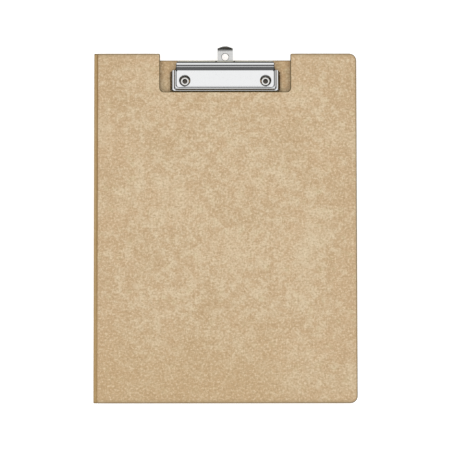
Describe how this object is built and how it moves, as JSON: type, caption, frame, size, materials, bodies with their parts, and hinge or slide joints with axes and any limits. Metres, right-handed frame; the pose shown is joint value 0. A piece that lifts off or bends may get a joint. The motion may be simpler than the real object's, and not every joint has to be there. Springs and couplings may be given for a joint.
{
  "type": "folio clipboard",
  "caption": "Folder clipboard with a creased spine, a notched fold-over cover, a low sprung lever clip on a base plate, and a sliding tab to hang it by.",
  "frame": {"origin": "centre of the back's outer face, which the closed folder lies on", "axes": "+X from the spine towards the free edge, +Y up the page towards the clip, +Z from the back out through the cover"},
  "size_m": [0.237, 0.3222, 0.0129],
  "materials": {
    "kraft_liner": "uncoated brown kraft paper, mottled, matt",
    "greyboard": "dense pressed board, cut edges showing",
    "chromed_sheet": "bright chrome plate on pressed steel",
    "nickel": "bright nickel plate",
    "spring_steel": "drawn spring wire"
  },
  "bodies": {
    "back": {"back_board": "greyboard", "back_outer_liner": "kraft_liner", "back_inner_liner": "kraft_liner", "clip_base_plate": "chromed_sheet", "hinge_pin": "nickel", "rivet_left": "nickel", "rivet_right": "nickel", "torsion_spring_left": "spring_steel", "torsion_spring_right": "spring_steel"},
    "spine": {"spine_board": "greyboard", "spine_outer_liner": "kraft_liner", "spine_inner_liner": "kraft_liner"},
    "cover": {"cover_board": "greyboard", "cover_outer_liner": "kraft_liner", "cover_inner_liner": "kraft_liner"},
    "lever": {"clip_lever": "chromed_sheet"},
    "tab": {"hanging_tab": "chromed_sheet"}
  },
  "joints": [
    {"name": "spine_crease", "type": "hinge", "parent": "back", "child": "spine", "pos_m": [-0.11835, 0, 0.00015], "axis": [0, -1, 0], "range_deg": [0, 179]},
    {"name": "cover_crease", "type": "hinge", "parent": "spine", "child": "cover", "pos_m": [-0.11835, 0, 0.00985], "axis": [0, -1, 0], "range_deg": [0, 179]},
    {"name": "lever_pivot", "type": "hinge", "parent": "back", "child": "lever", "pos_m": [0, 0.1422, 0.0059], "axis": [-1, 0, 0], "range_deg": [0, 25], "stiffness_Nm_per_rad": 0.35, "springref_deg": -45.84, "deforming": ["torsion_spring_left", "torsion_spring_right"]},
    {"name": "tab_slide", "type": "slide", "parent": "back", "child": "tab", "axis": [0, -1, 0], "range_m": [0, 0.0075]}
  ]
}
